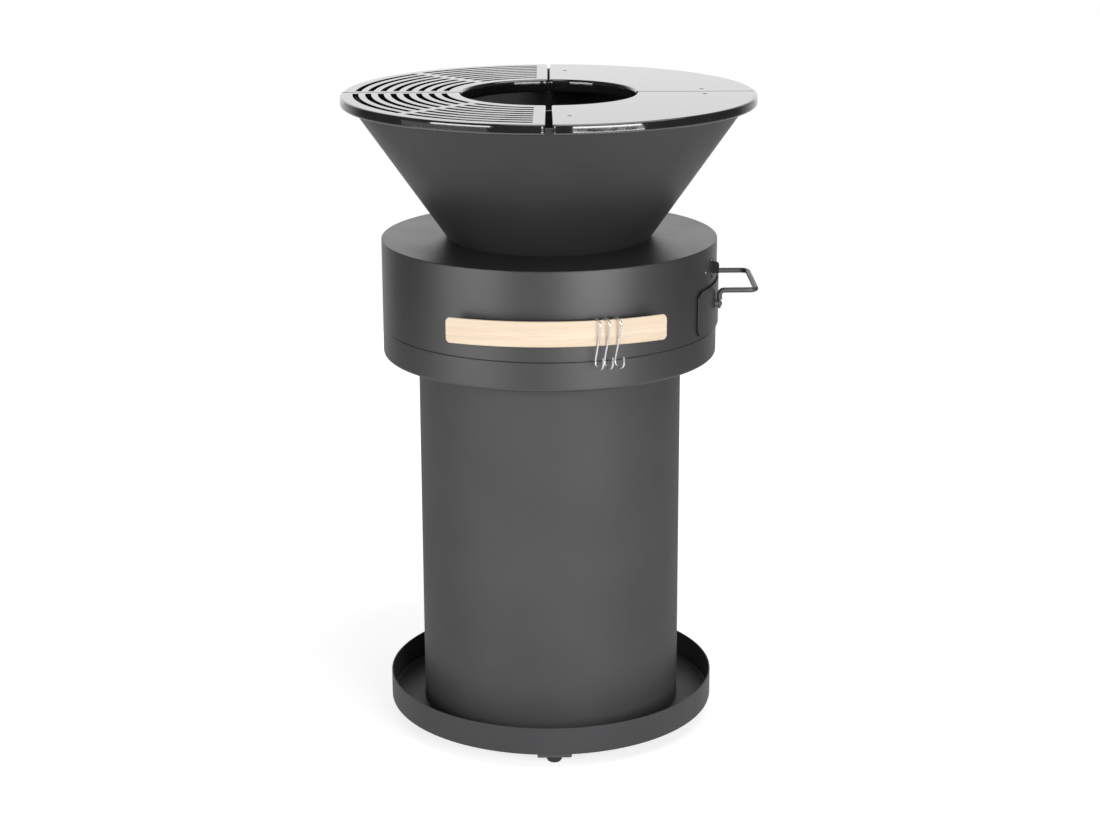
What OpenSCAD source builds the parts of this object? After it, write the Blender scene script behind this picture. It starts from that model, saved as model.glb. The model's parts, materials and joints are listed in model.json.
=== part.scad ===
// Charcoal brazier: a conical fire bowl under four lift-off cooking plates, on a drum head with
// an ash drawer and a wooden hook rail, carried by a tubular column that stands in a round tray.
// Millimetres, +Z up, origin on the floor under the middle. -Y is the front, with the hook rail,
// and +X is the side where the ash drawer pulls out.

/* [Feet] */
// Height of the tray's underside above the floor
foot_h = 21; // [14:1:40]
// Number of feet round the tray
foot_count = 4; // [3:1:6]
// Distance from the middle to each foot
foot_pitch_r = 215; // [200:1:225]
// Width of a foot pad, along the tray's rim
foot_pad_w = 50; // [34:1:70]
// Depth of a foot pad, towards the middle
foot_pad_l = 44; // [30:1:50]
// Thickness of a foot pad
foot_pad_t = 6.5; // [4:0.5:10]
// Widest diameter of the domed glide
glide_d = 24; // [16:1:30]
// Diameter of the flat that touches the floor
glide_flat_d = 13; // [6:1:14]
// Diameter of the glide's stem
glide_stem_d = 8; // [6:1:12]
// Rounding of a foot pad's corners
foot_pad_corner_r = 3; // [1:0.5:6]

/* [Tray and pan] */
// Outer diameter of the tray that the column stands in
tray_d = 490; // [460:1:540]
// Height of the tray
tray_h = 42.5; // [25:0.5:70]
// Outer diameter of the drum head and of the pan under it
head_d = 491; // [470:1:540]
// Height of the pan that closes the head from below
pan_h = 42.5; // [30:0.5:60]
// Thickness of the pressed sheet of tray, pan, drum and column
sheet_t = 1.6; // [1:0.1:3]
// Radius of the bend between floor and wall of the tray and the pan
pan_bend_r = 4; // [2:0.5:10]
// Size of the bevel along the tray's upper edge
tray_edge = 0.3; // [0.1:0.1:0.8]

/* [Column] */
// Outer diameter of the column
column_d = 388; // [320:1:400]
// Length of the column's tube
column_h = 545.4; // [350:1:750]
// Height of the angle rings inside the column's ends
column_ring_h = 25; // [15:1:40]
// Width of the ring leg that is bolted down
column_ring_w = 28; // [20:1:40]
// Number of bolts in each ring
column_bolt_count = 6; // [3:1:12]
// Angle of the first ring bolt from the drawer's side
column_bolt_turn = 30; // [0:1:90]
// Thread diameter of the ring bolts
column_bolt_d = 8; // [5:1:10]

/* [Drum head] */
// Height of the drum's shell and top together
head_h = 128.8; // [110:0.5:170]
// Height of the joint ring inside the seam of pan and drum
joint_ring_h = 19; // [10:1:20]
// Size of the bevels that form the seam's groove
seam_bevel = 0.9; // [0.3:0.1:1.2]

/* [Fire bowl] */
// Height of the fire bowl, from the drum's top to its rim
bowl_h = 203.7; // [140:0.5:260]
// Outer diameter of the bowl where it stands on the drum
bowl_base_d = 297; // [290:1:330]
// Thickness of the bowl's sheet
bowl_t = 2; // [1.5:0.1:4]
// Number of bolts that hold the bowl to the drum
bowl_bolt_count = 6; // [3:1:10]
// Thread diameter of the bowl's bolts
bowl_bolt_d = 6; // [5:1:8]
// Width of the seat on which the charcoal grate rests
grate_seat_w = 8; // [5:0.5:10]
// Clearance round the charcoal grate when it is lifted out through the plates' hole
grate_clear = 6.5; // [4:0.5:10]
// Thickness of the charcoal grate
grate_t = 4; // [3:0.5:8]
// Width of the slots in the charcoal grate
grate_slot_w = 8; // [5:0.5:10]
// Distance between the slots in the charcoal grate
grate_slot_pitch = 16; // [14:0.5:24]

/* [Cooking plates] */
// Outer diameter of the four cooking plates when they lie closed up
plate_d = 595; // [560:1:640]
// Diameter of the fire hole in their middle
plate_hole_d = 249; // [230:1:270]
// Thickness of a plate's slab
plate_t = 6; // [4:0.5:10]
// Depth of the outer lip below the top face
plate_lip = 14; // [11:0.5:20]
// Depth of the skirt round the fire hole below the top face
plate_skirt = 18.5; // [13:0.5:26]
// Thickness of lip, skirt and edge ribs
plate_wall = 5; // [3:0.5:7]
// Depth of the stiffening ribs along the seams below the top face
plate_rib = 12; // [9:0.5:14]
// Clearance between the ribs and what lies inside and outside them
rib_clear = 2; // [1:0.5:5]
// Rounding of a plate's edges
plate_edge_r = 2.5; // [1:0.1:3]
// Bevel of the lower edges of lip and skirt
plate_bevel = 1.4; // [0.3:0.1:1.4]
// Bevel of the upper edges along the seams
plate_seam_bevel = 1.5; // [0.3:0.1:2.5]
// Rounding of a plate's outer corners
plate_corner_r = 5; // [3:0.5:8]
// Radial clearance between the bowl's rim and the plates' lip
plate_rim_clear = 2.2; // [1:0.1:5]
// Half of the clearance between two neighbouring plates
plate_gap = 0.5; // [0.3:0.1:1.5]
// How far each front plate lies slid out sideways
front_plate_slide = 2.6; // [0:0.1:3]
// How far each rear plate lies slid out sideways
rear_plate_slide = 0.9; // [0:0.1:2]
// Angle by which each front plate lies turned open at the front seam
front_plate_turn = 0.36; // [0:0.02:0.4]
// Angle between the plates' seams and the head's axes
plate_turn = -1.2; // [-10:0.1:10]

/* [Grill slots] */
// Width of a grill slot
slot_w = 8.7; // [5:0.1:10]
// Distance between the grill slots
slot_pitch = 18.1; // [15:0.1:24]
// Distance from the fire hole to the first slot
slot_inset = 19; // [12:0.5:26]
// Least distance from the last slot to the plate's outer edge
slot_rim = 18; // [14:0.5:30]
// Solid width beside the seam between the two grill plates
slot_side_margin = 12; // [9:0.5:18]
// Solid width beside the seam between grill and griddle
slot_seam_margin = 17; // [10:0.5:24]
// Width of the solid spoke across the middle of a grill plate
slot_spoke_w = 13; // [8:0.5:20]
// Diameter of the lifting holes in the griddle plates
lift_hole_d = 6.5; // [4:0.5:9]
// Distance of a lifting hole from the middle of the brazier
lift_hole_r = 222; // [180:1:255]
// Distance of a lifting hole from its seam
lift_hole_inset = 24; // [14:0.5:40]

/* [Support ring] */
// Radial width of the ring under the plates' inner edges
ring_w = 6; // [4:0.5:9]
// Height of the ring
ring_h = 6; // [4:0.5:8]
// Clearance between the plates' skirt and the ring
ring_clear = 0.9; // [0.5:0.1:2]
// Number of arms that carry the ring
arm_count = 4; // [3:1:6]
// Height of the ring's arms
arm_h = 12; // [9:0.5:18]
// Width of the ring's arms
arm_w = 6; // [4:0.5:10]
// Clearance between the arms' ends and the bowl
arm_clear = 1; // [0.5:0.1:3]
// Length of the small brackets that carry the arms
ring_bracket_l = 16; // [10:1:24]

/* [Ash drawer] */
// Width of the drawer's box
drawer_w = 246; // [200:1:250]
// Height of the drawer's box
drawer_h = 50; // [36:1:54]
// Distance from the middle of the head to the back of the box
drawer_back = 128; // [115:1:150]
// Thickness of the box's sheet
drawer_t = 1.2; // [0.8:0.1:2]
// Clearance between the box and what it slides past
drawer_clear = 2; // [1:0.5:3]
// Height of the drawer's floor above the seam
drawer_rise = 8; // [7:0.5:11]
// Gap between the box's floor and the runners
runner_clear = 0.4; // [0.3:0.1:1]
// Width of the curved drawer front
front_w = 266; // [264:0.2:300]
// Height of the curved drawer front
front_h = 66.4; // [64:0.2:80]
// How far the drawer front reaches below the drum's opening
front_lap = 2.4; // [1:0.2:4]
// Thickness of the curved drawer front
front_t = 1.6; // [1.5:0.1:4]
// Rounding of the drawer front's corners
front_corner_r = 12; // [6:1:20]
// Gap between the drawer front and the drum
front_gap = 1.4; // [0.3:0.1:1.5]
// Width of the runners' flanges
runner_w = 16; // [10:1:24]
// Height of the runners' webs
runner_h = 14; // [8:1:20]

/* [Drawer handle] */
// Diameter of the handle's wire
handle_wire = 7.6; // [5:0.1:9]
// Distance between the middles of the handle's legs
handle_w = 129.6; // [90:0.2:150]
// Distance from the head's middle to the middle of the grip
handle_reach = 298.7; // [275:0.1:320]
// Height of the grip below the top edge of the drawer front
handle_drop = 11.7; // [8:0.1:20]
// Radius of the grip's corners
handle_corner_r = 11; // [8:0.5:20]
// Radius of the bends down to the eyelets
handle_bend_r = 7; // [6:0.5:9]
// Distance from the grip down to the eyelets' bolts
handle_eye_drop = 19.8; // [17:0.2:26]
// Diameter of the eyelets
eye_d = 14; // [12:0.5:18]
// Thickness of the eyelets
eye_t = 3; // [2:0.5:5]
// Clearance between the wire and the drawer front
eye_clear = 0.4; // [0.2:0.1:2]
// Thread diameter of the handle's bolts
handle_bolt_d = 5; // [4:0.5:6]

/* [Side bracket] */
// Angle of the tab from the front, towards the drawer
tab_angle = 72.2; // [62:0.1:76]
// Height of the tab
tab_h = 17; // [12:0.5:22]
// How far the tab stands out from the drum
tab_depth = 9.4; // [6:0.2:14]
// Thickness of the tab and its plate
tab_t = 1.5; // [1:0.1:2.5]
// Clearance round the tab in the drum's slot
tab_clear = 0.3; // [0.2:0.1:1]
// Height of the tab's foot below the drum's top
tab_drop = 42; // [38:0.5:48]
// Width of the bracket's plate, along the drum's inner wall
bracket_w = 46; // [44:0.5:56]
// Height of the bracket's plate
bracket_h = 30; // [28:0.5:34]
// Rounding of the corners of the bracket's plate
bracket_corner_r = 4; // [1:0.5:8]
// Diameter of the bracket's screw heads
bracket_screw_d = 6; // [5:0.5:8]
// Diameter of the open hole under the tab
side_hole_d = 6.8; // [4:0.2:8]

/* [Hook rail] */
// Outer radius of the bent wooden rail
rail_r = 338.2; // [310:0.2:400]
// Half of the rail's angle
rail_half_angle = 26.9; // [20:0.1:30]
// Height of the rail
rail_h = 36.3; // [26:0.1:50]
// Thickness of the rail
rail_t = 5; // [4.5:0.1:7]
// Rounding of the rail's long edges
rail_edge_r = 2; // [0.5:0.1:2.2]
// Gap between the drum and the middle of the rail
rail_gap = 10; // [7:0.1:14]
// Distance of the rail's top edge below the drum's top
rail_drop = 66.9; // [50:0.1:80]
// Angle by which the rail sits off the front, towards the drawer
rail_turn = 1.2; // [-5:0.1:5]
// Rounding of the rail's corners
rail_corner_r = 7; // [3:0.5:12]
// Distance between the rail's two bolts
rail_bolt_pitch = 240; // [220:1:250]
// Thread diameter of the rail's bolts
rail_bolt_d = 5; // [4:0.5:6]
// Diameter of the rail's spacers
rail_spacer_d = 12; // [9:0.5:16]

/* [Hooks] */
// Diameter of the hooks' wire
hook_wire = 2.8; // [2:0.1:3]
// Middle diameter of the hooks' two loops
hook_loop_d = 19.8; // [18.5:0.1:26]
// How far the upper loop's middle lies in front of the rail's middle
hook_offset = 2.4; // [1.6:0.1:2.6]
// How far the lower loop's middle hangs below the rail's lower edge
hook_drop = 21.5; // [18:0.5:35]
// Length of the lower loop's straight tip
hook_tip = 8.8; // [4:0.2:12]
// Length of the upper loop's straight tip, behind the rail
hook_back_tip = 4; // [1:0.5:5]
// Angle of the hooks' plane against the rail's own direction
hook_twist = 20; // [0:1:25]
// Place of the left hook on the rail, from its middle
hook_angle = 9.1; // [0:0.1:10]
// Angle on the rail from the left hook to the middle one
hook_step_left = 2.2; // [2:0.1:4]
// Angle on the rail from the middle hook to the right one
hook_step_right = 2.6; // [2:0.1:4]
// Clearance between a hook and the rail
hook_clear = 0.3; // [0.2:0.05:0.5]

/* [Hidden] */
$fn = 180;
// A length past everything, and how far a cut runs past what it cuts
far = 1000;
over = 1;
// How far the holes in the drum's wall reach inwards and outwards
wall_cut = 20;
// Sizes of bolts and nuts as shares of the thread's diameter
hex_head = 1.6;
hex_head_h = 0.6;
dome_head = 1.9;
dome_head_h = 0.5;
nut_across = 1.9;
nut_height = 0.8;
// How much wider than the thread a bolt's hole is
hole_clear = 0.6;

pan_steel = [0.20, 0.20, 0.205];
drum_steel = [0.22, 0.22, 0.225];
bowl_steel = [0.15, 0.15, 0.155];
enamel = [0.03, 0.03, 0.032];
bright_steel = [0.80, 0.80, 0.82];
dark_steel = [0.12, 0.12, 0.12];
zinc = [0.62, 0.63, 0.64];
pale_wood = [0.90, 0.78, 0.60];

tray_r = tray_d / 2;
head_r = head_d / 2;
head_in_r = head_r - sheet_t;
column_r = column_d / 2;
column_in_r = column_r - sheet_t;

tray_z = foot_h;
column_z = tray_z + sheet_t;
pan_z = column_z + column_h;
seam_z = pan_z + pan_h;
head_top_z = seam_z + head_h;
rim_z = head_top_z + bowl_h;
top_z = rim_z + plate_t;

plate_r = plate_d / 2;
hole_r = plate_hole_d / 2;
lip_in_r = plate_r - plate_wall;
skirt_out_r = hole_r + plate_wall;
rim_r = lip_in_r - plate_rim_clear;
bowl_base_r = bowl_base_d / 2;
bowl_slope = (rim_r - bowl_base_r) / bowl_h;
bowl_wall_w = bowl_t * sqrt(1 + bowl_slope * bowl_slope);
grate_r = hole_r - grate_clear;
mouth_r = grate_r - grate_seat_w;
bowl_bolt_r = (grate_r + bowl_base_r - bowl_wall_w) / 2;

ring_in_r = skirt_out_r + front_plate_slide + ring_clear;
ring_out_r = ring_in_r + ring_w;
arm_z = rim_z - arm_h;
arm_turn = 45;

column_bolt_r = column_in_r - sheet_t - column_ring_w / 2;
column_bolt_hole_d = column_bolt_d + hole_clear;

slot_count = floor((plate_r - slot_rim - slot_w - hole_r - slot_inset) / slot_pitch) + 1;

drawer_z = seam_z + drawer_rise;
runner_z = drawer_z - runner_clear - sheet_t;
front_in_r = head_r + front_gap;
front_out_r = front_in_r + front_t;
opening_w = drawer_w + 2 * drawer_clear;
opening_z = drawer_z - sheet_t;
front_z = opening_z - front_lap;
opening_h = drawer_h + sheet_t + 2 * drawer_clear;

grip_z = front_z + front_h - handle_drop;
eye_z = grip_z - handle_eye_drop;
eye_y = handle_w / 2;
eye_x = sqrt(pow(front_out_r, 2) - pow(eye_y - handle_wire / 2, 2)) + eye_clear + handle_wire / 2;
eye_seat_d = eye_d - 3;
nut_x = sqrt(pow(front_in_r, 2) - pow(eye_y + handle_bolt_d * nut_across / 2, 2));

tab_z = head_top_z - tab_drop;
bracket_z = tab_z - tab_clear;
bracket_screw_shank_d = bracket_screw_d * 0.55;
// Angle and height of each screw: one above the tab, one beside it
bracket_screw_places = [[tab_angle - 1.6, tab_z + tab_h + 3.8], [tab_angle - 7.9, tab_z + 7.5]];
// The open hole lies just below the tab, clear of the bracket's plate
side_hole_angle = tab_angle - 1.3;
side_hole_z = bracket_z - side_hole_d / 2 - 0.4;

rail_z = head_top_z - rail_drop - rail_h;
rail_centre = head_r + rail_gap + rail_t - rail_r;
rail_in_r = rail_r - rail_t;
// A length from the rail that reaches through the drum's wall
rail_reach = 60;
rail_bolt_angle = asin(rail_bolt_pitch / 2 / rail_r);

// A hook in its own plane, u outwards and w upwards from the middle of the rail's top edge.
// Its loop clears the rounding of the rail's upper rear edge, and its shank the rounding of
// the lower front edge.
hook_r = hook_loop_d / 2;
hook_edge_u = (rail_t + hook_wire * sin(hook_twist)) / 2 / cos(hook_twist) - rail_edge_r;
hook_reach = hook_r - hook_wire / 2 - rail_edge_r - hook_clear;
hook_seat = rail_edge_r + sqrt(pow(hook_reach, 2) - pow(hook_edge_u + hook_offset, 2));
hook_edge_w = rail_h - rail_edge_r - hook_seat;
hook_edge_l = norm([hook_edge_u - hook_offset, hook_edge_w]);
hook_tilt = asin(hook_reach / hook_edge_l) - atan2(hook_edge_u - hook_offset, hook_edge_w);
hook_shank_l = (rail_h + hook_drop - hook_seat - hook_loop_d * sin(hook_tilt)) / cos(hook_tilt);

// Shared shapes

function arc_points(cx, cy, r, from, to, steps = 6) =
    [for (i = [0 : steps]) let (a = from + (to - from) * i / steps) [cx + r * cos(a), cy + r * sin(a)]];

module tube(r_out, r_in, h) {
    difference() {
        cylinder(r = r_out, h = h);
        through(2 * r_in, h);
    }
}

module around(count, start = 0) {
    for (i = [0 : count - 1]) rotate(start + i * 360 / count) children();
}

module hex_bolt(d, shank) {
    cylinder(d = d, h = shank);
    translate([0, 0, -hex_head_h * d]) cylinder(d = hex_head * d, h = hex_head_h * d, $fn = 6);
}

module dome_bolt(d, shank, head_d, head_h) {
    cap_r = (head_d * head_d / 4 + head_h * head_h) / (2 * head_h);
    cylinder(d = d, h = shank);
    intersection() {
        translate([0, 0, cap_r - head_h]) sphere(r = cap_r);
        translate([0, 0, -head_h]) cylinder(d = head_d + over, h = head_h);
    }
}

module hex_nut(bore) {
    difference() {
        cylinder(d = nut_across * bore, h = nut_height * bore, $fn = 6);
        through(bore, nut_height * bore);
    }
}

// A round hole through something of a given height
module through(d, h) {
    translate([0, 0, -over]) cylinder(d = d, h = h + 2 * over);
}

module rounded_rect(w, h, r) {
    translate([r, 0]) square([w - 2 * r, h]);
    translate([0, r]) square([w, h - 2 * r]);
    for (x = [r, w - r], y = [r, h - r]) translate([x, y]) circle(r = r);
}

module wire_arc(bend_r, wire, angle) {
    rotate_extrude(angle = angle) translate([bend_r, 0]) circle(d = wire);
}

module pressed_pan(r, h, bevel) {
    in_r = max(pan_bend_r - sheet_t, 0.5);
    rotate_extrude()
        polygon(concat(
            [[0, 0]],
            arc_points(r - pan_bend_r, pan_bend_r, pan_bend_r, -90, 0),
            [[r, h - bevel], [r - bevel, h], [r - sheet_t, h]],
            arc_points(r - sheet_t - in_r, sheet_t + in_r, in_r, 0, -90),
            [[0, sheet_t]]
        ));
}

// Feet, tray and column

module foot_pads() {
    color(dark_steel)
        around(foot_count, -90)
            translate([foot_pitch_r, 0, foot_h - foot_pad_t])
                difference() {
                    translate([-foot_pad_l / 2, -foot_pad_w / 2, 0])
                        linear_extrude(foot_pad_t) rounded_rect(foot_pad_l, foot_pad_w, foot_pad_corner_r);
                    through(glide_stem_d, foot_pad_t);
                }
}

module foot_glides() {
    dome_h = foot_h - foot_pad_t;
    // The dome's lower part is round, and its upper part tapers to the pad
    round_h = 0.55 * dome_h;
    neck_r = glide_d / 2 - 2;
    color(dark_steel)
        around(foot_count, -90)
            translate([foot_pitch_r, 0, 0]) {
                rotate_extrude()
                    polygon(concat(
                        [[0, 0], [glide_flat_d / 2, 0]],
                        [for (i = [1 : 6]) [
                            glide_flat_d / 2 + (glide_d - glide_flat_d) / 2 * sin(15 * i),
                            round_h * (1 - cos(15 * i))
                        ]],
                        [[neck_r, dome_h], [0, dome_h]]
                    ));
                translate([0, 0, dome_h]) cylinder(d = glide_stem_d, h = foot_pad_t);
            }
}

module base_tray() {
    color(pan_steel)
        difference() {
            translate([0, 0, tray_z]) pressed_pan(tray_r, tray_h, tray_edge);
            around(column_bolt_count, column_bolt_turn)
                translate([column_bolt_r, 0, tray_z]) through(column_bolt_hole_d, sheet_t);
        }
}

module column_shell() {
    color(drum_steel) translate([0, 0, column_z]) tube(column_r, column_in_r, column_h);
}

module column_ring() {
    difference() {
        union() {
            tube(column_in_r, column_in_r - sheet_t, column_ring_h);
            tube(column_in_r - sheet_t, column_in_r - sheet_t - column_ring_w, sheet_t);
        }
        around(column_bolt_count, column_bolt_turn)
            translate([column_bolt_r, 0, 0]) through(column_bolt_hole_d, sheet_t);
    }
}

module column_lower_ring() {
    color(dark_steel) translate([0, 0, column_z]) column_ring();
}

module column_upper_ring() {
    color(dark_steel) translate([0, 0, pan_z]) mirror([0, 0, 1]) column_ring();
}

module column_bolt() {
    hex_bolt(column_bolt_d, 2 * sheet_t + column_bolt_d);
}

module column_lower_bolts() {
    color(zinc)
        around(column_bolt_count, column_bolt_turn) translate([column_bolt_r, 0, tray_z]) column_bolt();
}

module column_upper_bolts() {
    color(zinc)
        around(column_bolt_count, column_bolt_turn)
            translate([column_bolt_r, 0, pan_z + sheet_t]) mirror([0, 0, 1]) column_bolt();
}

module column_nuts() {
    color(zinc)
        around(column_bolt_count, column_bolt_turn) {
            translate([column_bolt_r, 0, column_z + sheet_t]) hex_nut(column_bolt_d);
            translate([column_bolt_r, 0, pan_z - sheet_t]) mirror([0, 0, 1]) hex_nut(column_bolt_d);
        }
}

// Drum head

module head_pan() {
    color(drum_steel)
        difference() {
            translate([0, 0, pan_z]) pressed_pan(head_r, pan_h, seam_bevel);
            around(column_bolt_count, column_bolt_turn)
                translate([column_bolt_r, 0, pan_z]) through(column_bolt_hole_d, sheet_t);
        }
}

module head_joint_ring() {
    color(dark_steel)
        translate([0, 0, runner_z - joint_ring_h])
            tube(head_in_r, head_in_r - sheet_t, joint_ring_h);
}

// Radial hole in the drum at an angle from the front and at a height
module drum_hole(angle, z, d) {
    rotate(angle - 90)
        translate([head_r - wall_cut, 0, z]) rotate([0, 90, 0]) cylinder(d = d, h = 2 * wall_cut);
}

module head_shell() {
    wall_h = head_h - sheet_t;
    color(drum_steel)
        difference() {
            translate([0, 0, seam_z])
                rotate_extrude()
                    polygon([
                        [head_in_r, 0], [head_r - seam_bevel, 0], [head_r, seam_bevel],
                        [head_r, wall_h], [head_in_r, wall_h]
                    ]);
            translate([head_r / 2, -opening_w / 2, opening_z])
                rotate([90, 0, 90])
                    linear_extrude(head_r) rounded_rect(opening_w, opening_h, 2 * drawer_clear);
            rotate(tab_angle - 90)
                translate([head_r - wall_cut, -tab_t / 2 - tab_clear, tab_z - tab_clear])
                    cube([2 * wall_cut, tab_t + 2 * tab_clear, tab_h + 2 * tab_clear]);
            drum_hole(side_hole_angle, side_hole_z, side_hole_d);
            for (p = bracket_screw_places) drum_hole(p[0], p[1], bracket_screw_shank_d);
            rail_bolt_lines(rail_bolt_d + hole_clear, -rail_reach, 0);
        }
}

module head_top() {
    edge = min(sheet_t * 0.9, 1.4);
    color(drum_steel)
        translate([0, 0, head_top_z - sheet_t])
            difference() {
                rotate_extrude()
                    polygon(concat(
                        [[mouth_r, 0], [head_r, 0]],
                        arc_points(head_r - edge, sheet_t - edge, edge, 0, 90, 4),
                        [[mouth_r, sheet_t]]
                    ));
                around(bowl_bolt_count, 15)
                    translate([bowl_bolt_r, 0, 0]) through(bowl_bolt_d + hole_clear, sheet_t);
            }
}

// Ash drawer and its runners

module inside_drum(r) {
    translate([0, 0, pan_z]) cylinder(r = r, h = pan_h + head_h);
}

module drawer_runners() {
    web_y = (drawer_w + drawer_clear) / 2;
    color(dark_steel)
        intersection() {
            inside_drum(head_in_r);
            for (side = [0, 1]) mirror([0, side, 0]) {
                translate([-head_r, web_y - runner_w, runner_z])
                    cube([2 * head_r, runner_w, sheet_t]);
                translate([-head_r, web_y, runner_z])
                    cube([2 * head_r, sheet_t, runner_h]);
            }
        }
}

module drawer_box_plan(inset) {
    intersection() {
        translate([-drawer_back + inset, -drawer_w / 2 + inset])
            square([drawer_back + head_r + front_out_r, drawer_w - 2 * inset]);
        circle(r = front_in_r);
    }
}

module ash_drawer_box() {
    color(dark_steel)
        translate([0, 0, drawer_z])
            difference() {
                linear_extrude(drawer_h) drawer_box_plan(0);
                translate([0, 0, drawer_t]) linear_extrude(drawer_h) intersection() {
                    translate([-drawer_back + drawer_t, -drawer_w / 2 + drawer_t])
                        square([far, drawer_w - 2 * drawer_t]);
                    circle(r = front_in_r + over);
                }
            }
}

module drawer_front() {
    color(drum_steel)
        difference() {
            intersection() {
                translate([0, 0, front_z - over])
                    tube(front_out_r, front_in_r, front_h + 2 * over);
                translate([0, -front_w / 2, front_z])
                    rotate([90, 0, 90])
                        linear_extrude(far) rounded_rect(front_w, front_h, front_corner_r);
            }
            handle_bolt_lines(handle_bolt_d);
        }
}

// Lines along which the handle's bolts run through front and eyelets
module handle_bolt_lines(d) {
    for (side = [-1, 1])
        translate([head_r / 2, side * eye_y, eye_z]) rotate([0, 90, 0]) cylinder(d = d, h = head_r);
}

module handle_spacers() {
    color(dark_steel)
        difference() {
            for (side = [-1, 1])
                translate([eye_x - eye_t / 2 - wall_cut, side * eye_y, eye_z])
                    rotate([0, 90, 0]) cylinder(d = eye_seat_d, h = wall_cut);
            translate([0, 0, front_z - over]) cylinder(r = front_out_r, h = front_h + 2 * over);
            handle_bolt_lines(handle_bolt_d);
        }
}

module drawer_handle() {
    leg_x = eye_x + handle_bend_r;
    grip_x = handle_reach - handle_corner_r;
    corner_y = eye_y - handle_corner_r;
    // The wire ends in the eyelet's upper edge, clear of its bolt and washer
    wire_foot = eye_d / 2 - 1;
    color(dark_steel)
        difference() {
            union() {
                translate([handle_reach, -corner_y, grip_z])
                    rotate([-90, 0, 0]) cylinder(d = handle_wire, h = 2 * corner_y);
                for (side = [0, 1]) mirror([0, side, 0]) {
                    translate([grip_x, corner_y, grip_z])
                        wire_arc(handle_corner_r, handle_wire, 90);
                    translate([leg_x, eye_y, grip_z])
                        rotate([0, 90, 0]) cylinder(d = handle_wire, h = grip_x - leg_x);
                    translate([leg_x, eye_y, grip_z - handle_bend_r])
                        rotate([90, 0, 0]) rotate(90) wire_arc(handle_bend_r, handle_wire, 90);
                    translate([eye_x, eye_y, eye_z + wire_foot])
                        cylinder(d = handle_wire, h = handle_eye_drop - handle_bend_r - wire_foot);
                    translate([eye_x - eye_t / 2, eye_y, eye_z])
                        rotate([0, 90, 0]) cylinder(d = eye_d, h = eye_t);
                }
            }
            handle_bolt_lines(handle_bolt_d);
        }
}

module handle_bolts() {
    outside_x = eye_x + eye_t / 2;
    inside_x = nut_x - (nut_height + 0.4) * handle_bolt_d;
    head_d = min(dome_head * handle_bolt_d, eye_seat_d);
    color(dark_steel)
        for (side = [-1, 1])
            translate([outside_x, side * eye_y, eye_z])
                rotate([0, -90, 0])
                    dome_bolt(handle_bolt_d, outside_x - inside_x, head_d, dome_head_h * handle_bolt_d);
}

module handle_nuts() {
    color(zinc)
        for (side = [-1, 1])
            translate([nut_x, side * eye_y, eye_z]) rotate([0, -90, 0]) hex_nut(handle_bolt_d);
}

// Bracket inside the drum's wall, with a tab that stands out through a slot

module side_bracket() {
    plate_middle = tab_angle + 1.5 - bracket_w / 2 / head_r * 180 / PI;
    color(drum_steel)
        difference() {
            union() {
                intersection() {
                    translate([0, 0, bracket_z - over])
                        tube(head_in_r, head_in_r - tab_t, bracket_h + 2 * over);
                    rotate(plate_middle - 90)
                        translate([0, -bracket_w / 2, bracket_z])
                            rotate([90, 0, 90])
                                linear_extrude(far) rounded_rect(bracket_w, bracket_h, bracket_corner_r);
                }
                rotate(tab_angle - 90) translate([0, tab_t / 2, tab_z]) rotate([90, 0, 0])
                    linear_extrude(tab_t) tab_outline();
            }
            for (p = bracket_screw_places) drum_hole(p[0], p[1], bracket_screw_shank_d);
        }
}

// The tab's outline, from the middle of the plate's thickness to its rounded outer corner
module tab_outline() {
    corner_r = min(5, tab_depth - 1);
    polygon(concat(
        [[head_in_r - tab_t / 2, 0], [head_r + tab_depth, 0]],
        arc_points(head_r + tab_depth - corner_r, tab_h - corner_r, corner_r, 0, 90),
        [[head_in_r - tab_t / 2, tab_h]]
    ));
}

module side_bracket_screws() {
    screw_l = sheet_t + tab_t + 4;
    screw_head_h = bracket_screw_d / 3;
    color(dark_steel)
        for (p = bracket_screw_places)
            rotate(p[0] - 90)
                translate([head_r, 0, p[1]])
                    rotate([0, -90, 0])
                        dome_bolt(bracket_screw_shank_d, screw_l, bracket_screw_d, screw_head_h);
}

// Hook rail: placed in its own frame, with its middle of curvature behind the drum's

module on_rail(angle = 0) {
    rotate(rail_turn) translate([0, -rail_centre, 0]) rotate(angle) children();
}

// Cylinders on the lines of the rail's two bolts, from and to measured outwards from the
// middle of the rail's thickness
module rail_bolt_lines(d, from, to) {
    for (side = [-1, 1])
        on_rail(side * rail_bolt_angle)
            translate([0, rail_t / 2 - rail_r - from, rail_z + rail_h / 2])
                rotate([90, 0, 0]) cylinder(d = d, h = to - from);
}

module rail_section(r_out, r_in, edge_r) {
    rotate_extrude() translate([r_in, 0]) rounded_rect(r_out - r_in, rail_h, edge_r);
}

module rail_spacers() {
    color(dark_steel)
        difference() {
            rail_bolt_lines(rail_spacer_d, -rail_reach, 0);
            on_rail() translate([0, 0, rail_z]) tube(rail_r + rail_t, rail_in_r, rail_h);
            translate([0, 0, rail_z]) cylinder(r = head_r, h = rail_h);
            rail_bolt_lines(rail_bolt_d, -rail_reach - over, over);
        }
}

module hook_rail() {
    half_w = rail_r * sin(rail_half_angle);
    color(pale_wood)
        difference() {
            intersection() {
                on_rail() translate([0, 0, rail_z]) rail_section(rail_r, rail_in_r, rail_edge_r);
                on_rail() translate([-half_w, 0, rail_z]) rotate([90, 0, 0])
                    linear_extrude(far) rounded_rect(2 * half_w, rail_h, rail_corner_r);
            }
            rail_bolt_lines(rail_bolt_d, -rail_t, 0);
        }
}

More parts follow.
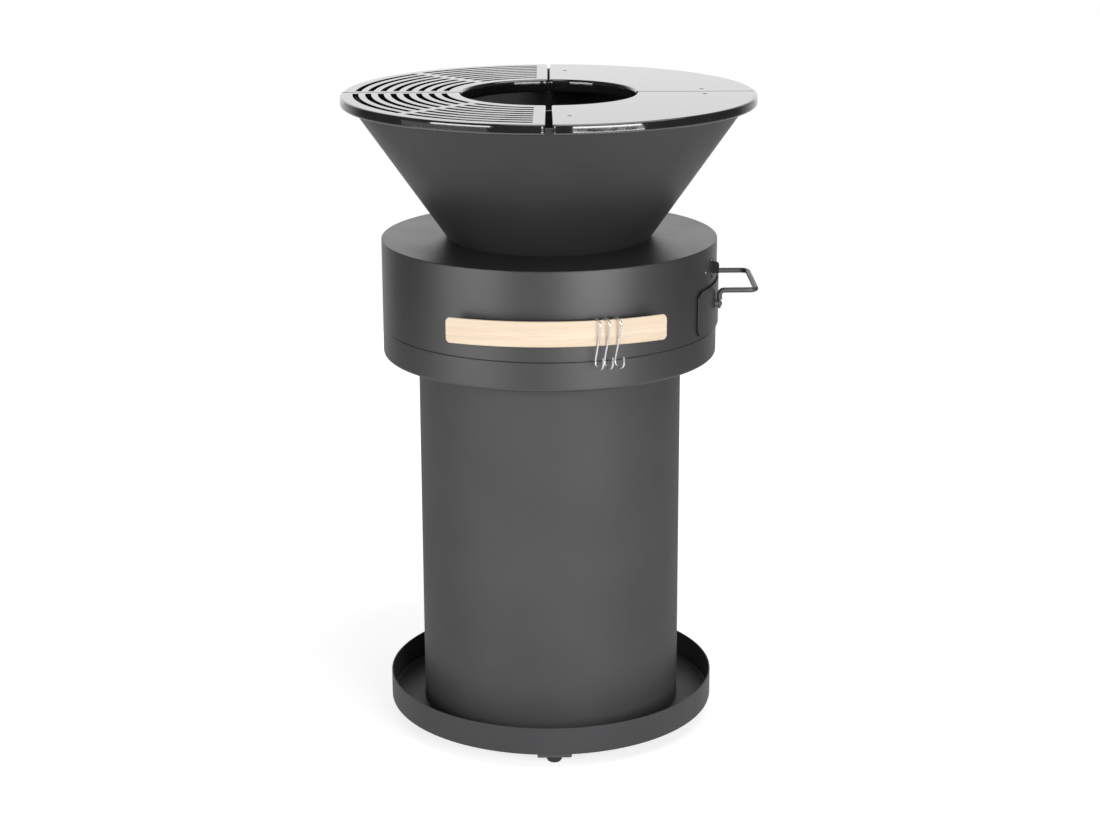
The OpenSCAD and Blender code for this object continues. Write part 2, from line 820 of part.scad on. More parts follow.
// The bolts' heads bear on the drum's inner wall, and they end inside the rail's thickness
module rail_bolts() {
    wall = rail_bolt_wall();
    rail_bolt_head_h = 0.7 * rail_bolt_d;
    color(zinc) {
        rail_bolt_lines(rail_bolt_d, wall - rail_bolt_head_h / 2, 0);
        intersection() {
            inside_drum(head_in_r);
            rail_bolt_lines(dome_head * rail_bolt_d, wall - rail_bolt_head_h, wall + rail_bolt_head_h);
        }
    }
}

// Where a rail bolt's line meets the drum's inner wall, from the middle of the rail
function rail_bolt_wall() =
    let (across = rail_centre * cos(rail_bolt_angle), off = rail_centre * sin(rail_bolt_angle))
        sqrt(head_in_r * head_in_r - off * off) - across - rail_r + rail_t / 2;

// Hooks

module s_hook(angle) {
    color(bright_steel)
        on_rail(angle)
            translate([0, rail_t / 2 - rail_r, rail_z + rail_h])
                rotate(hook_twist) rotate([90, 0, -90]) hook_curve();
}

// The hook's wire in its own plane, x outwards and y upwards
module hook_curve() {
    translate([hook_offset, -hook_seat, 0]) {
        rotate(-hook_tilt) {
            wire_arc(hook_r, hook_wire, 180 + hook_tilt);
            translate([hook_r, 0, 0]) {
                hook_joint();
                rotate([90, 0, 0]) cylinder(d = hook_wire, h = hook_shank_l);
            }
        }
        translate([-hook_r, 0, 0]) {
            hook_joint();
            rotate([90, 0, 0]) cylinder(d = hook_wire, h = hook_back_tip);
        }
        rotate(-hook_tilt) translate([hook_loop_d, -hook_shank_l, 0]) {
            rotate(180) wire_arc(hook_r, hook_wire, 180 + hook_tilt);
            translate([-hook_r, 0, 0]) hook_joint();
            rotate(hook_tilt) translate([hook_r, 0, 0]) {
                hook_joint();
                rotate([-90, 0, 0]) cylinder(d = hook_wire, h = hook_tip);
            }
        }
    }
}

// Joins a bend and a straight length into one wire: a ball a hair thicker than the wire
module hook_joint() {
    sphere(d = hook_wire + 0.02, $fn = 48);
}

module s_hook_left() { s_hook(hook_angle); }
module s_hook_middle() { s_hook(hook_angle + hook_step_left); }
module s_hook_right() { s_hook(hook_angle + hook_step_left + hook_step_right); }

// Fire bowl

module fire_bowl() {
    color(bowl_steel)
        translate([0, 0, head_top_z])
            difference() {
                rotate_extrude()
                    polygon([
                        [mouth_r, 0], [bowl_base_r, 0], [rim_r, bowl_h], [rim_r - bowl_wall_w, bowl_h],
                        [bowl_base_r - bowl_wall_w + bowl_slope * bowl_t, bowl_t], [mouth_r, bowl_t]
                    ]);
                around(bowl_bolt_count, 15)
                    translate([bowl_bolt_r, 0, 0]) through(bowl_bolt_d + hole_clear, bowl_t);
            }
}

module bowl_bolts() {
    color(dark_steel)
        around(bowl_bolt_count, 15)
            translate([bowl_bolt_r, 0, head_top_z + bowl_t])
                mirror([0, 0, 1])
                    dome_bolt(
                        bowl_bolt_d, bowl_t + sheet_t + bowl_bolt_d,
                        dome_head * bowl_bolt_d, dome_head_h * bowl_bolt_d
                    );
}

module bowl_nuts() {
    color(zinc)
        around(bowl_bolt_count, 15)
            translate([bowl_bolt_r, 0, head_top_z - sheet_t])
                mirror([0, 0, 1]) hex_nut(bowl_bolt_d);
}

module charcoal_grate() {
    // The slots leave a solid edge over the seat and a solid bar across the middle
    field_r = mouth_r - 4;
    bar_half_w = 5;
    half_count = floor((field_r - grate_slot_w) / grate_slot_pitch);
    color(dark_steel)
        translate([0, 0, head_top_z + bowl_t])
            difference() {
                cylinder(r = grate_r, h = grate_t);
                for (i = [-half_count : half_count]) {
                    x = i * grate_slot_pitch;
                    half_l = sqrt(field_r * field_r - pow(abs(x) + grate_slot_w / 2, 2));
                    for (side = [0, 1]) mirror([0, side, 0])
                        translate([x - grate_slot_w / 2, bar_half_w, -over])
                            cube([grate_slot_w, max(half_l - bar_half_w, 1), grate_t + 2 * over]);
                }
            }
}

// Support ring and the brackets that carry it

function bowl_in_r(z) = rim_r - bowl_wall_w - bowl_slope * (rim_z - z);

module ring_brackets() {
    bracket_r = bowl_in_r(arm_z - sheet_t);
    color(dark_steel)
        intersection() {
            translate([0, 0, arm_z - ring_bracket_l])
                rotate_extrude()
                    polygon([
                        [0, 0], [bowl_in_r(arm_z - ring_bracket_l), 0],
                        [bowl_in_r(arm_z), ring_bracket_l], [0, ring_bracket_l]
                    ]);
            around(arm_count, arm_turn + plate_turn)
                translate([bracket_r - ring_bracket_l, -arm_w, arm_z - sheet_t])
                    cube([2 * ring_bracket_l, 2 * arm_w, sheet_t]);
        }
}

module support_ring() {
    color(dark_steel) {
        translate([0, 0, rim_z - ring_h]) tube(ring_out_r, ring_in_r, ring_h);
        around(arm_count, arm_turn + plate_turn)
            translate([ring_out_r - ring_w / 2, -arm_w / 2, arm_z])
                cube([bowl_in_r(arm_z) - arm_clear - ring_out_r + ring_w / 2, arm_w, arm_h]);
    }
}

// Cooking plates: modelled in the quadrant x > 0, y > 0, x along the seam to the side

module plate_profile() {
    e = plate_edge_r;
    b = plate_bevel;
    polygon(concat(
        [[hole_r, -plate_skirt + b], [hole_r + b, -plate_skirt], [skirt_out_r - b, -plate_skirt],
            [skirt_out_r, -plate_skirt + b], [skirt_out_r, -plate_t], [lip_in_r, -plate_t],
            [lip_in_r, -plate_lip + b], [lip_in_r + b, -plate_lip], [plate_r - b, -plate_lip],
            [plate_r, -plate_lip + b]],
        arc_points(plate_r - e, -e, e, 0, 90, 5),
        arc_points(hole_r + e, -e, e, 90, 180, 5)
    ));
}

// What is cut away to round the outer (side 1) or inner (side -1) corner at the y seam
module corner_cut(r, edge_r, side) {
    inner = edge_r - side * r;
    cx = plate_gap + r;
    cy = sqrt(inner * inner - cx * cx);
    translate([0, 0, -plate_skirt - over])
        linear_extrude(plate_skirt + 2 * over)
            difference() {
                translate([-over, side > 0 ? cy : cy - 2 * r]) square([cx + over, 2 * r]);
                translate([cx, cy]) circle(r = r);
            }
}

// What is cut away to round the lip's lower corner at the y seam
module lip_corner_cut() {
    r = min(plate_corner_r, plate_lip - plate_edge_r);
    translate([0, plate_r + over, -plate_lip])
        rotate([90, 0, 0])
            linear_extrude(plate_wall + 2 * over)
                difference() {
                    translate([-over, -over]) square([plate_gap + r + over, r + over]);
                    translate([plate_gap + r, r]) circle(r = r);
                }
}

// What is cut away to bevel the upper edge along the x seam
module seam_bevel_cut() {
    reach = 4 * plate_seam_bevel;
    translate([-over, plate_gap + plate_seam_bevel / 2, -plate_seam_bevel / 2])
        rotate([45, 0, 0])
            translate([0, -reach / 2, 0]) cube([far, reach, reach]);
}

module plate_blank() {
    inner_corner_r = 0.6 * plate_wall;
    rib_from = ring_out_r + rib_clear;
    rib_to = bowl_in_r(top_z - plate_rib) - front_plate_slide - 2 * rib_clear;
    difference() {
        union() {
            intersection() {
                rotate_extrude() plate_profile();
                translate([plate_gap, plate_gap, -far / 2]) cube([far, far, far]);
            }
            for (swap = [0, 1]) mirror([swap, -swap, 0])
                translate([rib_from, plate_gap, -plate_rib])
                    cube([rib_to - rib_from, plate_wall, plate_rib - plate_t + over]);
        }
        for (swap = [0, 1]) mirror([swap, -swap, 0]) {
            corner_cut(plate_corner_r, plate_r, 1);
            corner_cut(inner_corner_r, hole_r, -1);
            lip_corner_cut();
            seam_bevel_cut();
        }
    }
}

// The two fields of grill slots, either side of the spoke
module slot_fields() {
    c = slot_spoke_w / sqrt(2);
    polygon([[slot_side_margin + c, slot_side_margin], [far, slot_side_margin], [far, far - c]]);
    polygon([[slot_seam_margin, slot_seam_margin + c], [far - c, far], [slot_seam_margin, far]]);
}

module grill_plate() {
    difference() {
        plate_blank();
        intersection() {
            translate([0, 0, -plate_t - over]) linear_extrude(plate_t + 2 * over) slot_fields();
            union() for (i = [0 : slot_count - 1]) {
                r = hole_r + slot_inset + i * slot_pitch;
                translate([0, 0, -plate_t - over]) tube(r + slot_w, r, plate_t + 2 * over);
            }
        }
    }
}

module griddle_plate() {
    along = sqrt(lift_hole_r * lift_hole_r - lift_hole_inset * lift_hole_inset);
    difference() {
        plate_blank();
        for (p = [[along, lift_hole_inset], [lift_hole_inset, along]])
            translate([p[0], p[1], -plate_t]) through(lift_hole_d, plate_t);
    }
}

// Puts a plate on the bowl: side is -1 left or 1 right, end is -1 front or 1 rear
module lay_plate(side, end) {
    front = end < 0;
    slide = front ? front_plate_slide : rear_plate_slide;
    // Turned open at the front, a plate is drawn forward until its side seam clears its neighbour
    back_off = front ? 0.86 * plate_r * sin(front_plate_turn) : 0;
    translate([0, 0, top_z])
        rotate(plate_turn)
            translate([side * slide, -back_off, 0])
                rotate(front ? side * front_plate_turn : 0)
                    mirror([side < 0 ? 1 : 0, 0, 0]) mirror([0, front ? 1 : 0, 0])
                        children();
}

module grill_plate_front() { color(enamel) lay_plate(-1, -1) grill_plate(); }
module grill_plate_rear() { color(enamel) lay_plate(-1, 1) grill_plate(); }
module griddle_plate_front() { color(enamel) lay_plate(1, -1) griddle_plate(); }
module griddle_plate_rear() { color(enamel) lay_plate(1, 1) griddle_plate(); }

foot_pads();
foot_glides();
base_tray();
column_shell();
column_lower_ring();
column_upper_ring();
column_lower_bolts();
column_upper_bolts();
column_nuts();
head_pan();
head_joint_ring();
head_shell();
head_top();
drawer_runners();
ash_drawer_box();
drawer_front();
handle_spacers();
drawer_handle();
handle_bolts();
handle_nuts();
side_bracket();
side_bracket_screws();
rail_spacers();
hook_rail();
rail_bolts();
s_hook_left();
s_hook_middle();
s_hook_right();
fire_bowl();
bowl_bolts();
bowl_nuts();
charcoal_grate();
ring_brackets();
support_ring();
grill_plate_front();
grill_plate_rear();
griddle_plate_front();
griddle_plate_rear();
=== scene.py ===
import json
import math

import bpy
from mathutils import Matrix, Vector

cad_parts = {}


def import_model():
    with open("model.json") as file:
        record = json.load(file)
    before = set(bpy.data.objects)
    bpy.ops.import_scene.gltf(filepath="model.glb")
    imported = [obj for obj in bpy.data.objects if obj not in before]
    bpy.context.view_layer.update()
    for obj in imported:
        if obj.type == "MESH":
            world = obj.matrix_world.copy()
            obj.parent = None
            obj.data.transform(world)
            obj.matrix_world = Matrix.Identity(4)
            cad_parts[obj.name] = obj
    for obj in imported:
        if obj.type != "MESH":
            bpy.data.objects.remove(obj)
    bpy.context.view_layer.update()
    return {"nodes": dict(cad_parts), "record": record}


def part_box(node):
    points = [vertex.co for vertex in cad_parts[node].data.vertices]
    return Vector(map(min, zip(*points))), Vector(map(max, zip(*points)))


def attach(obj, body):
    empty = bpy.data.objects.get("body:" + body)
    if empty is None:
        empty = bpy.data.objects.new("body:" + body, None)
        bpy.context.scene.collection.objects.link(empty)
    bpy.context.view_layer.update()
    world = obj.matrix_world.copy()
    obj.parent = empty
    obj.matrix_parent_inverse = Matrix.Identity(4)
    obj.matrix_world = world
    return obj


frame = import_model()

MM = 0.001

# The photograph's camera, in the row frame
IMAGE_W = 1100
FOCAL_PX = 2315.5
SENSOR_W = 36.0
CAMERA_PLACE = Vector((-0.0713, -3.3288, 1.4369))
CAMERA_AZIMUTH = math.radians(1.23)
CAMERA_PITCH = math.radians(-16.21)
CAMERA_ROLL = math.radians(0.222)

# Sizes of the bowl, and its seam's angle, a little left of the back
BOWL_BASE_R = 148.5 * MM
BOWL_WALL = 2.0 * MM
BOWL_SEAM_TURN = math.radians(98.5)

# Beads of weld: how far they stop short of an edge, of the bowl's inner foot and of its rim
BEAD_END = 2 * MM
BEAD_INNER_FOOT = 6 * MM
BEAD_RIM = 16 * MM
# The length of a bead between two rings of its mesh, its sides, and how far its edges sink in
BEAD_STEP = 1.1 * MM
BEAD_SIDES = 7
BEAD_SINK = 0.1 * MM

# The lip of the plates lies outside one radius, the edge of the fire hole inside the other
LIP_R = 288.0 * MM
HOLE_LIP_R = 132.0 * MM

# Linear colours of the finishes
HEAD_TONE = (0.019, 0.019, 0.020)
COLUMN_TONE = (0.064, 0.063, 0.066)
TRAY_TONE = (0.052, 0.051, 0.054)
BOWL_TONE = (0.026, 0.026, 0.027)
ENAMEL_TONE = (0.008, 0.008, 0.009)
BLACK_TONE = (0.014, 0.014, 0.015)
COATING_TONE = (0.035, 0.035, 0.036)
IRON_TONE = (0.030, 0.029, 0.028)
ZINC_TONE = (0.50, 0.51, 0.52)
STEEL_TONE = (0.72, 0.72, 0.73)
WOOD_PALE = (0.835, 0.685, 0.535)
WOOD_DARK = (0.70, 0.55, 0.39)
WHITE = (1.0, 1.0, 1.0)

# The round floor: its tone, and its glow to the eye as it grows between two distances from the axis
FLOOR_R = 2.4
FLOOR_SIDES = 96
FLOOR_TONE = (0.46, 0.46, 0.46)
GLOW_NEAR = 0.74
GLOW_FAR = 1.0
GLOW_FROM = 0.45
GLOW_TO = 1.2
# Its glow in reflections, from the front of the object to behind it
MIRROR_FRONT = 0.60
MIRROR_BACK = 0.28
MIRROR_REACH = 0.5

# The studio round it: the world in front of the object, its share of open white, and its fill
STUDIO_FRONT = 0.08
STUDIO_WHITE_FROM = 0.5
STUDIO_FILL = 0.22

# Boxes of light on a circle: left and right end in degrees from the front towards +X, low and high
# end in metres, and radiance
STUDIO_R = 2.6
STANDING_BOXES = {
    "left_box": (-64, -29, 0.72, 1.50, 7.2),
    "left_panel": (-86, -29, 0.42, 0.70, 0.35),
    "left_low_box": (-78, -29, 0.15, 0.40, 3.5),
    "right_box": (9, 47, 0.58, 1.50, 8.0),
    "right_low_box": (9, 49, 0.45, 0.53, 12.0),
}


# Shader building blocks

class Shader:
    """A material under construction: makes nodes, sets their sockets and links them."""

    def __init__(self, name):
        self.material = bpy.data.materials.new(name)
        self.material.use_nodes = True
        self.tree = self.material.node_tree
        self.surface = self.tree.nodes["Principled BSDF"]
        self.place = self.add("ShaderNodeTexCoord").outputs["Object"]

    def add(self, kind, settings=None, **sockets):
        node = self.tree.nodes.new(kind)
        for key, value in (settings or {}).items():
            setattr(node, key, value)
        for key, value in sockets.items():
            self.put(node.inputs[key.replace("_", " ")], value)
        return node

    def put(self, socket, value):
        if isinstance(value, bpy.types.NodeSocket):
            self.tree.links.new(value, socket)
        elif isinstance(value, tuple) and len(value) == 3 and socket.type == "RGBA":
            socket.default_value = (*value, 1.0)
        else:
            socket.default_value = value

    def set(self, **sockets):
        for key, value in sockets.items():
            self.put(self.surface.inputs[key.replace("_", " ")], value)

    def stretched(self, scale):
        """The surface's own place, stretched by a factor along each axis."""
        return self.add("ShaderNodeMapping", Vector=self.place, Scale=scale).outputs["Vector"]

    def noise(self, scale, detail=3.0, roughness=0.55, place=None, distortion=0.0):
        node = self.add("ShaderNodeTexNoise", Vector=place or self.place, Scale=scale,
                        Detail=detail, Roughness=roughness, Distortion=distortion)
        return node.outputs["Fac"]

    def remap(self, value, low, high, from_low=0.3, from_high=0.7):
        node = self.add("ShaderNodeMapRange", Value=value, From_Min=from_low,
                        From_Max=from_high, To_Min=low, To_Max=high)
        return node.outputs["Result"]

    def blend(self, factor, a, b):
        node = self.add("ShaderNodeMix", {"data_type": "RGBA"})
        self.put(node.inputs["Factor"], factor)
        self.put(node.inputs[6], a)
        self.put(node.inputs[7], b)
        return node.outputs[2]

    def maths(self, operation, a, b):
        node = self.add("ShaderNodeMath", {"operation": operation})
        self.put(node.inputs[0], a)
        self.put(node.inputs[1], b)
        return node.outputs[0]

    def bump(self, height, depth, normal=None):
        """Relief of a given depth in metres."""
        node = self.add("ShaderNodeBump", Height=height, Distance=depth, Strength=1.0)
        if normal:
            self.put(node.inputs["Normal"], normal)
        return node.outputs["Normal"]

    def rounded(self, radius, samples=4):
        """The normal, with edges softened over a radius in metres."""
        return self.add("ShaderNodeBevel", {"samples": samples}, Radius=radius).outputs["Normal"]

    def flat_place(self):
        """The surface's own place, without its height."""
        flat = self.add("ShaderNodeVectorMath", {"operation": "MULTIPLY"})
        self.put(flat.inputs[0], self.place)
        self.put(flat.inputs[1], (1.0, 1.0, 0.0))
        return flat.outputs["Vector"]

    def axis_distance(self):
        """How far the surface's own place lies from the upright axis."""
        size = self.add("ShaderNodeVectorMath", {"operation": "LENGTH"})
        self.put(size.inputs[0], self.flat_place())
        return size.outputs["Value"]

    def outward(self):
        """How squarely the surface faces away from the axis: 1 outside, 0 on a rim, -1 inside."""
        radial = self.add("ShaderNodeVectorMath", {"operation": "NORMALIZE"})
        self.put(radial.inputs[0], self.flat_place())
        turned = self.add("ShaderNodeVectorMath", {"operation": "DOT_PRODUCT"})
        self.put(turned.inputs[0], radial.outputs["Vector"])
        self.put(turned.inputs[1], self.add("ShaderNodeNewGeometry").outputs["True Normal"])
        return turned.outputs["Value"]


def scaled(tone, factor):
    return tuple(min(channel * factor, 1.0) for channel in tone)


def coated_steel(name, tone, roughness, grain=900.0, grain_depth=0.02, drift=0.04, ior=1.5,
                 edge=0.8, inside=None, rim=None):
    """Powder coating: a fine orange peel, slow drifts of tone and gloss, and faint dust specks.

    The depth of the grain and the radius of the softened edges are in millimetres. The faces that
    look towards the axis can be lightened by a factor on the tone, which is painted light, and a
    sheet's cut rim can be darkened by a factor, with its gloss taken away, which is painted shade.
    """
    s = Shader(name)
    cloud = s.noise(7.0, detail=2.0)
    specks = s.noise(2600.0, detail=1.0)
    body = s.blend(s.remap(cloud, 0.0, 1.0), scaled(tone, 0.93), scaled(tone, 1.08))
    body = s.blend(s.remap(specks, 0.0, 0.35, 0.62, 0.80), body, scaled(tone, 2.2))
    # Painted light: faces that look towards the axis are lightened by this factor on the tone.
    if inside:
        body = s.blend(s.remap(s.outward(), 1.0, 0.0, -0.6, -0.2), body, scaled(tone, inside))
    # Painted shade: a sheet's cut rim is darkened by this factor and loses its gloss, standing in
    # for the dark gap along its edge.
    if rim:
        rim_shade = s.remap(s.outward(), 1.0, 0.0, 0.35, 0.75)
        body = s.blend(rim_shade, body, scaled(tone, rim))
        s.set(Specular_IOR_Level=s.remap(rim_shade, 0.5, 0.05, 0.0, 1.0))
    smears = s.noise(16.0, detail=4.0, place=s.stretched((1.0, 1.0, 0.35)))
    s.set(Base_Color=body, IOR=ior)
    s.set(Roughness=s.remap(smears, roughness - drift, roughness + drift))
    s.set(Normal=s.bump(s.noise(grain, detail=2.0), grain_depth * MM, s.rounded(edge * MM)))
    return s.material


def enamel():
    """Glossy black enamel on a casting: a full round lip, slow waves, fine pits, uneven gloss."""
    s = Shader("plate_enamel")
    s.set(Base_Color=s.blend(s.remap(s.noise(30.0), 0.0, 1.0),
                             scaled(ENAMEL_TONE, 0.8), scaled(ENAMEL_TONE, 1.5)))
    s.set(Roughness=s.remap(s.noise(45.0, detail=5.0), 0.03, 0.07))
    s.set(IOR=2.1)
    away = s.axis_distance()
    outer = s.remap(away, 0.9 * MM, 5.0 * MM, LIP_R, LIP_R + 4 * MM)
    inner = s.remap(away, 8.0 * MM, 0.0, HOLE_LIP_R - 6 * MM, HOLE_LIP_R)
    lip = s.rounded(s.maths("MAXIMUM", outer, inner), samples=16)
    waves = s.bump(s.noise(22.0, detail=1.0), 0.06 * MM, lip)
    s.set(Normal=s.bump(s.noise(420.0, detail=3.0), 0.0015 * MM, waves))
    return s.material


def cast_iron():
    """Rough cast iron, without a coating."""
    s = Shader("cast_iron_grate")
    s.set(Base_Color=s.blend(s.remap(s.noise(40.0, detail=5.0), 0.0, 1.0),
                             scaled(IRON_TONE, 0.7), scaled(IRON_TONE, 1.6)))
    s.set(Roughness=s.remap(s.noise(60.0), 0.62, 0.82))
    s.set(Normal=s.bump(s.noise(650.0, detail=5.0), 0.15 * MM))
    return s.material


def plain_metal(name, tone, roughness, scratches=0.006):
    """Bare or plated metal with fine drawn scratches, whose depth is in millimetres."""
    s = Shader(name)
    s.set(Metallic=1.0)
    s.set(Base_Color=s.blend(s.remap(s.noise(90.0), 0.0, 1.0),
                             scaled(tone, 0.88), scaled(tone, 1.06)))
    s.set(Roughness=s.remap(s.noise(260.0, detail=4.0), roughness - 0.05, roughness + 0.08))
    s.set(Normal=s.bump(s.noise(1500.0, detail=2.0), scratches * MM))
    return s.material


def pale_wood():
    """Bent birch: long fine grain along the rail, darker pores and a satin varnish."""
    s = Shader("wood")
    along = s.stretched((3.0, 3.0, 75.0))
    grain = s.noise(1.0, detail=6.0, roughness=0.6, place=along, distortion=0.6)
    pores = s.noise(1.0, detail=2.0, place=s.stretched((22.0, 22.0, 900.0)))
    warm = s.blend(s.remap(grain, 0.0, 1.0, 0.35, 0.70), WOOD_PALE, WOOD_DARK)
    s.set(Base_Color=s.blend(s.remap(pores, 0.0, 0.35, 0.55, 0.75),
                             warm, scaled(WOOD_DARK, 0.75)))
    s.set(Roughness=s.remap(grain, 0.38, 0.52))
    s.set(Normal=s.bump(pores, 0.05 * MM, s.bump(grain, 0.08 * MM)))
    return s.material


def black_plastic():
    """Moulded plastic with a dull grain."""
    s = Shader("black_plastic")
    s.set(Base_Color=s.blend(s.remap(s.noise(60.0), 0.0, 1.0),
                             scaled(BLACK_TONE, 0.8), scaled(BLACK_TONE, 1.4)))
    s.set(Roughness=s.remap(s.noise(120.0), 0.5, 0.62))
    s.set(Normal=s.bump(s.noise(1200.0), 0.03 * MM))
    return s.material


def dress_nodes():
    """Gives each node of the frame the finish of its slot, or a finish of its own."""
    finishes = {
        "head_paint": coated_steel("head_paint", HEAD_TONE, 0.42, drift=0.02, ior=1.8),
        "column_paint": coated_steel("column_paint", COLUMN_TONE, 0.55, ior=1.42),
        "tray_paint": coated_steel("tray_paint", TRAY_TONE, 0.50, ior=1.42),
        # The bowl's inward faces get painted light, 2.2 times its tone.
        "bowl_paint": coated_steel("bowl_paint", BOWL_TONE, 0.44, grain=1300.0, grain_depth=0.03,
                                   inside=2.2),
        "plate_enamel": enamel(),
        "cast_iron_grate": cast_iron(),
        "black_coated_steel": coated_steel("black_coated_steel", COATING_TONE, 0.45, ior=1.8),
        "zinc_plated": plain_metal("zinc_plated", ZINC_TONE, 0.38),
        "bright_steel": plain_metal("bright_steel", STEEL_TONE, 0.20, scratches=0.003),
        "wood": pale_wood(),
        "black_plastic": black_plastic(),
    }
    own_finishes = {
        # The drawer front's cut rim gets painted shade, 0.15 of its tone and little gloss.
        "drawer_front": coated_steel("drawer_front_paint", HEAD_TONE, 0.42, drift=0.02, ior=1.8,
                                     edge=0.3, rim=0.15),
        "side_bracket": coated_steel("bracket_coating", BLACK_TONE, 0.45),
        "side_bracket_screws": coated_steel("glossy_screws", BLACK_TONE, 0.12, ior=2.2, edge=0.3),
    }
    for part in frame["record"]["subparts"]:
        node = frame["nodes"][part["node"]]
        node.data.materials.clear()
        finish = own_finishes.get(part["node"]) or finishes[part["material_slot"]]
        node.data.materials.append(finish)
    return finishes


# Details on the frame's pieces

def new_mesh_piece(name, verts, faces, material, body):
    mesh = bpy.data.meshes.new(name)
    mesh.from_pydata([tuple(v) for v in verts], [], faces)
    mesh.validate()
    mesh.polygons.foreach_set("use_smooth", [True] * len(mesh.polygons))
    mesh.materials.append(material)
    piece = bpy.data.objects.new(name, mesh)
    bpy.context.scene.collection.objects.link(piece)
    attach(piece, body)
    return piece


def weld_bead(name, start, end, outward, width, height, material):
    """A closed, rippled bead of weld along a straight line, on the surface that faces outward."""
    along = (end - start).normalized()
    side = along.cross(outward).normalized()
    rings = max(int((end - start).length / BEAD_STEP), 8)
    verts = []
    for i in range(rings + 1):
        t = i / rings
        ripple = 1.0 + 0.10 * math.sin(t * rings * 2.1) + 0.05 * math.sin(t * 37.0)
        fade = min(1.0, 8.0 * t + 0.3, 8.0 * (1.0 - t) + 0.3)
        centre = start.lerp(end, t)
        for j in range(BEAD_SIDES):
            angle = math.pi * j / (BEAD_SIDES - 1)
            rise = height * ripple * fade * math.sin(angle)
            spread = side * (width / 2 * ripple * math.cos(angle))
            verts.append(centre + spread + outward * (rise - BEAD_SINK))
    faces = []
    for i in range(rings):
        for j in range(BEAD_SIDES):
            a = i * BEAD_SIDES + j
            b = i * BEAD_SIDES + (j + 1) % BEAD_SIDES
            faces.append((a, b, b + BEAD_SIDES, a + BEAD_SIDES))
    faces.append(tuple(range(BEAD_SIDES))[::-1])
    faces.append(tuple(rings * BEAD_SIDES + j for j in range(BEAD_SIDES)))
    return new_mesh_piece(name, verts, faces, material, "stand")


def bowl_seams(finishes):
    """The fire bowl's welded seam, outside and inside."""
    low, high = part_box("fire_bowl")
    rim_r = high.x
    radial = Vector((math.cos(BOWL_SEAM_TURN), math.sin(BOWL_SEAM_TURN), 0.0))
    slope = (rim_r - BOWL_BASE_R) / (high.z - low.z)
    normal = (radial - Vector((0, 0, slope))).normalized()
    bottom = radial * BOWL_BASE_R + Vector((0, 0, low.z))
    top = radial * rim_r + Vector((0, 0, high.z))
    up = (top - bottom).normalized()
    weld_bead("bowl_seam_outside", bottom + up * BEAD_END, top - up * BEAD_RIM, normal,
              3.2 * MM, 0.5 * MM, finishes["bowl_paint"])
    inner = -normal * BOWL_WALL
    # The inner bead wears a copy of the bowl's paint four times lighter, a painted highlight along
    # the seam.
    weld_bead("bowl_seam_inside", bottom + inner + up * BEAD_INNER_FOOT,
              top + inner - up * BEAD_RIM, -normal, 4.0 * MM, 0.9 * MM,
              coated_steel("bowl_weld_painted_highlight", scaled(BOWL_TONE, 4.0), 0.35))


def column_seam(finishes):
    """The rolled column's straight seam, at the back."""
    low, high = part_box("column_shell")
    foot = Vector((0, high.y, low.z + BEAD_END))
    head = Vector((0, high.y, high.z - BEAD_END))
    weld_bead("column_seam", foot, head, Vector((0, 1, 0)), 3.0 * MM, 0.35 * MM,
              finishes["column_paint"])


# Floor, light and camera

def floor():
    """A round floor that is open white to the eye and keeps the soft shadow under the object."""
    turns = [math.tau * i / FLOOR_SIDES for i in range(FLOOR_SIDES)]
    rim = [(FLOOR_R * math.cos(turn), FLOOR_R * math.sin(turn), 0.0) for turn in turns]
    mesh = bpy.data.meshes.new("floor")
    mesh.from_pydata(rim, [], [tuple(range(FLOOR_SIDES))])
    plane = bpy.data.objects.new("floor", mesh)
    bpy.context.scene.collection.objects.link(plane)
    s = Shader("floor")
    s.set(Base_Color=FLOOR_TONE, Roughness=0.9)
    s.set(Emission_Color=WHITE)
    away = s.axis_distance()
    depth = s.add("ShaderNodeSeparateXYZ", Vector=s.place).outputs["Y"]
    path = s.add("ShaderNodeLightPath")
    mirrored = s.maths("MAXIMUM", path.outputs["Is Glossy Ray"],
                       path.outputs["Is Transmission Ray"])
    to_eye = s.maths("MULTIPLY", path.outputs["Is Camera Ray"],
                     s.remap(away, GLOW_NEAR, GLOW_FAR, GLOW_FROM, GLOW_TO))
    to_mirrors = s.maths("MULTIPLY", mirrored,
                         s.remap(depth, MIRROR_FRONT, MIRROR_BACK, -MIRROR_REACH, MIRROR_REACH))
    s.set(Emission_Strength=s.maths("ADD", to_eye, to_mirrors))
    mesh.materials.append(s.material)
    return plane


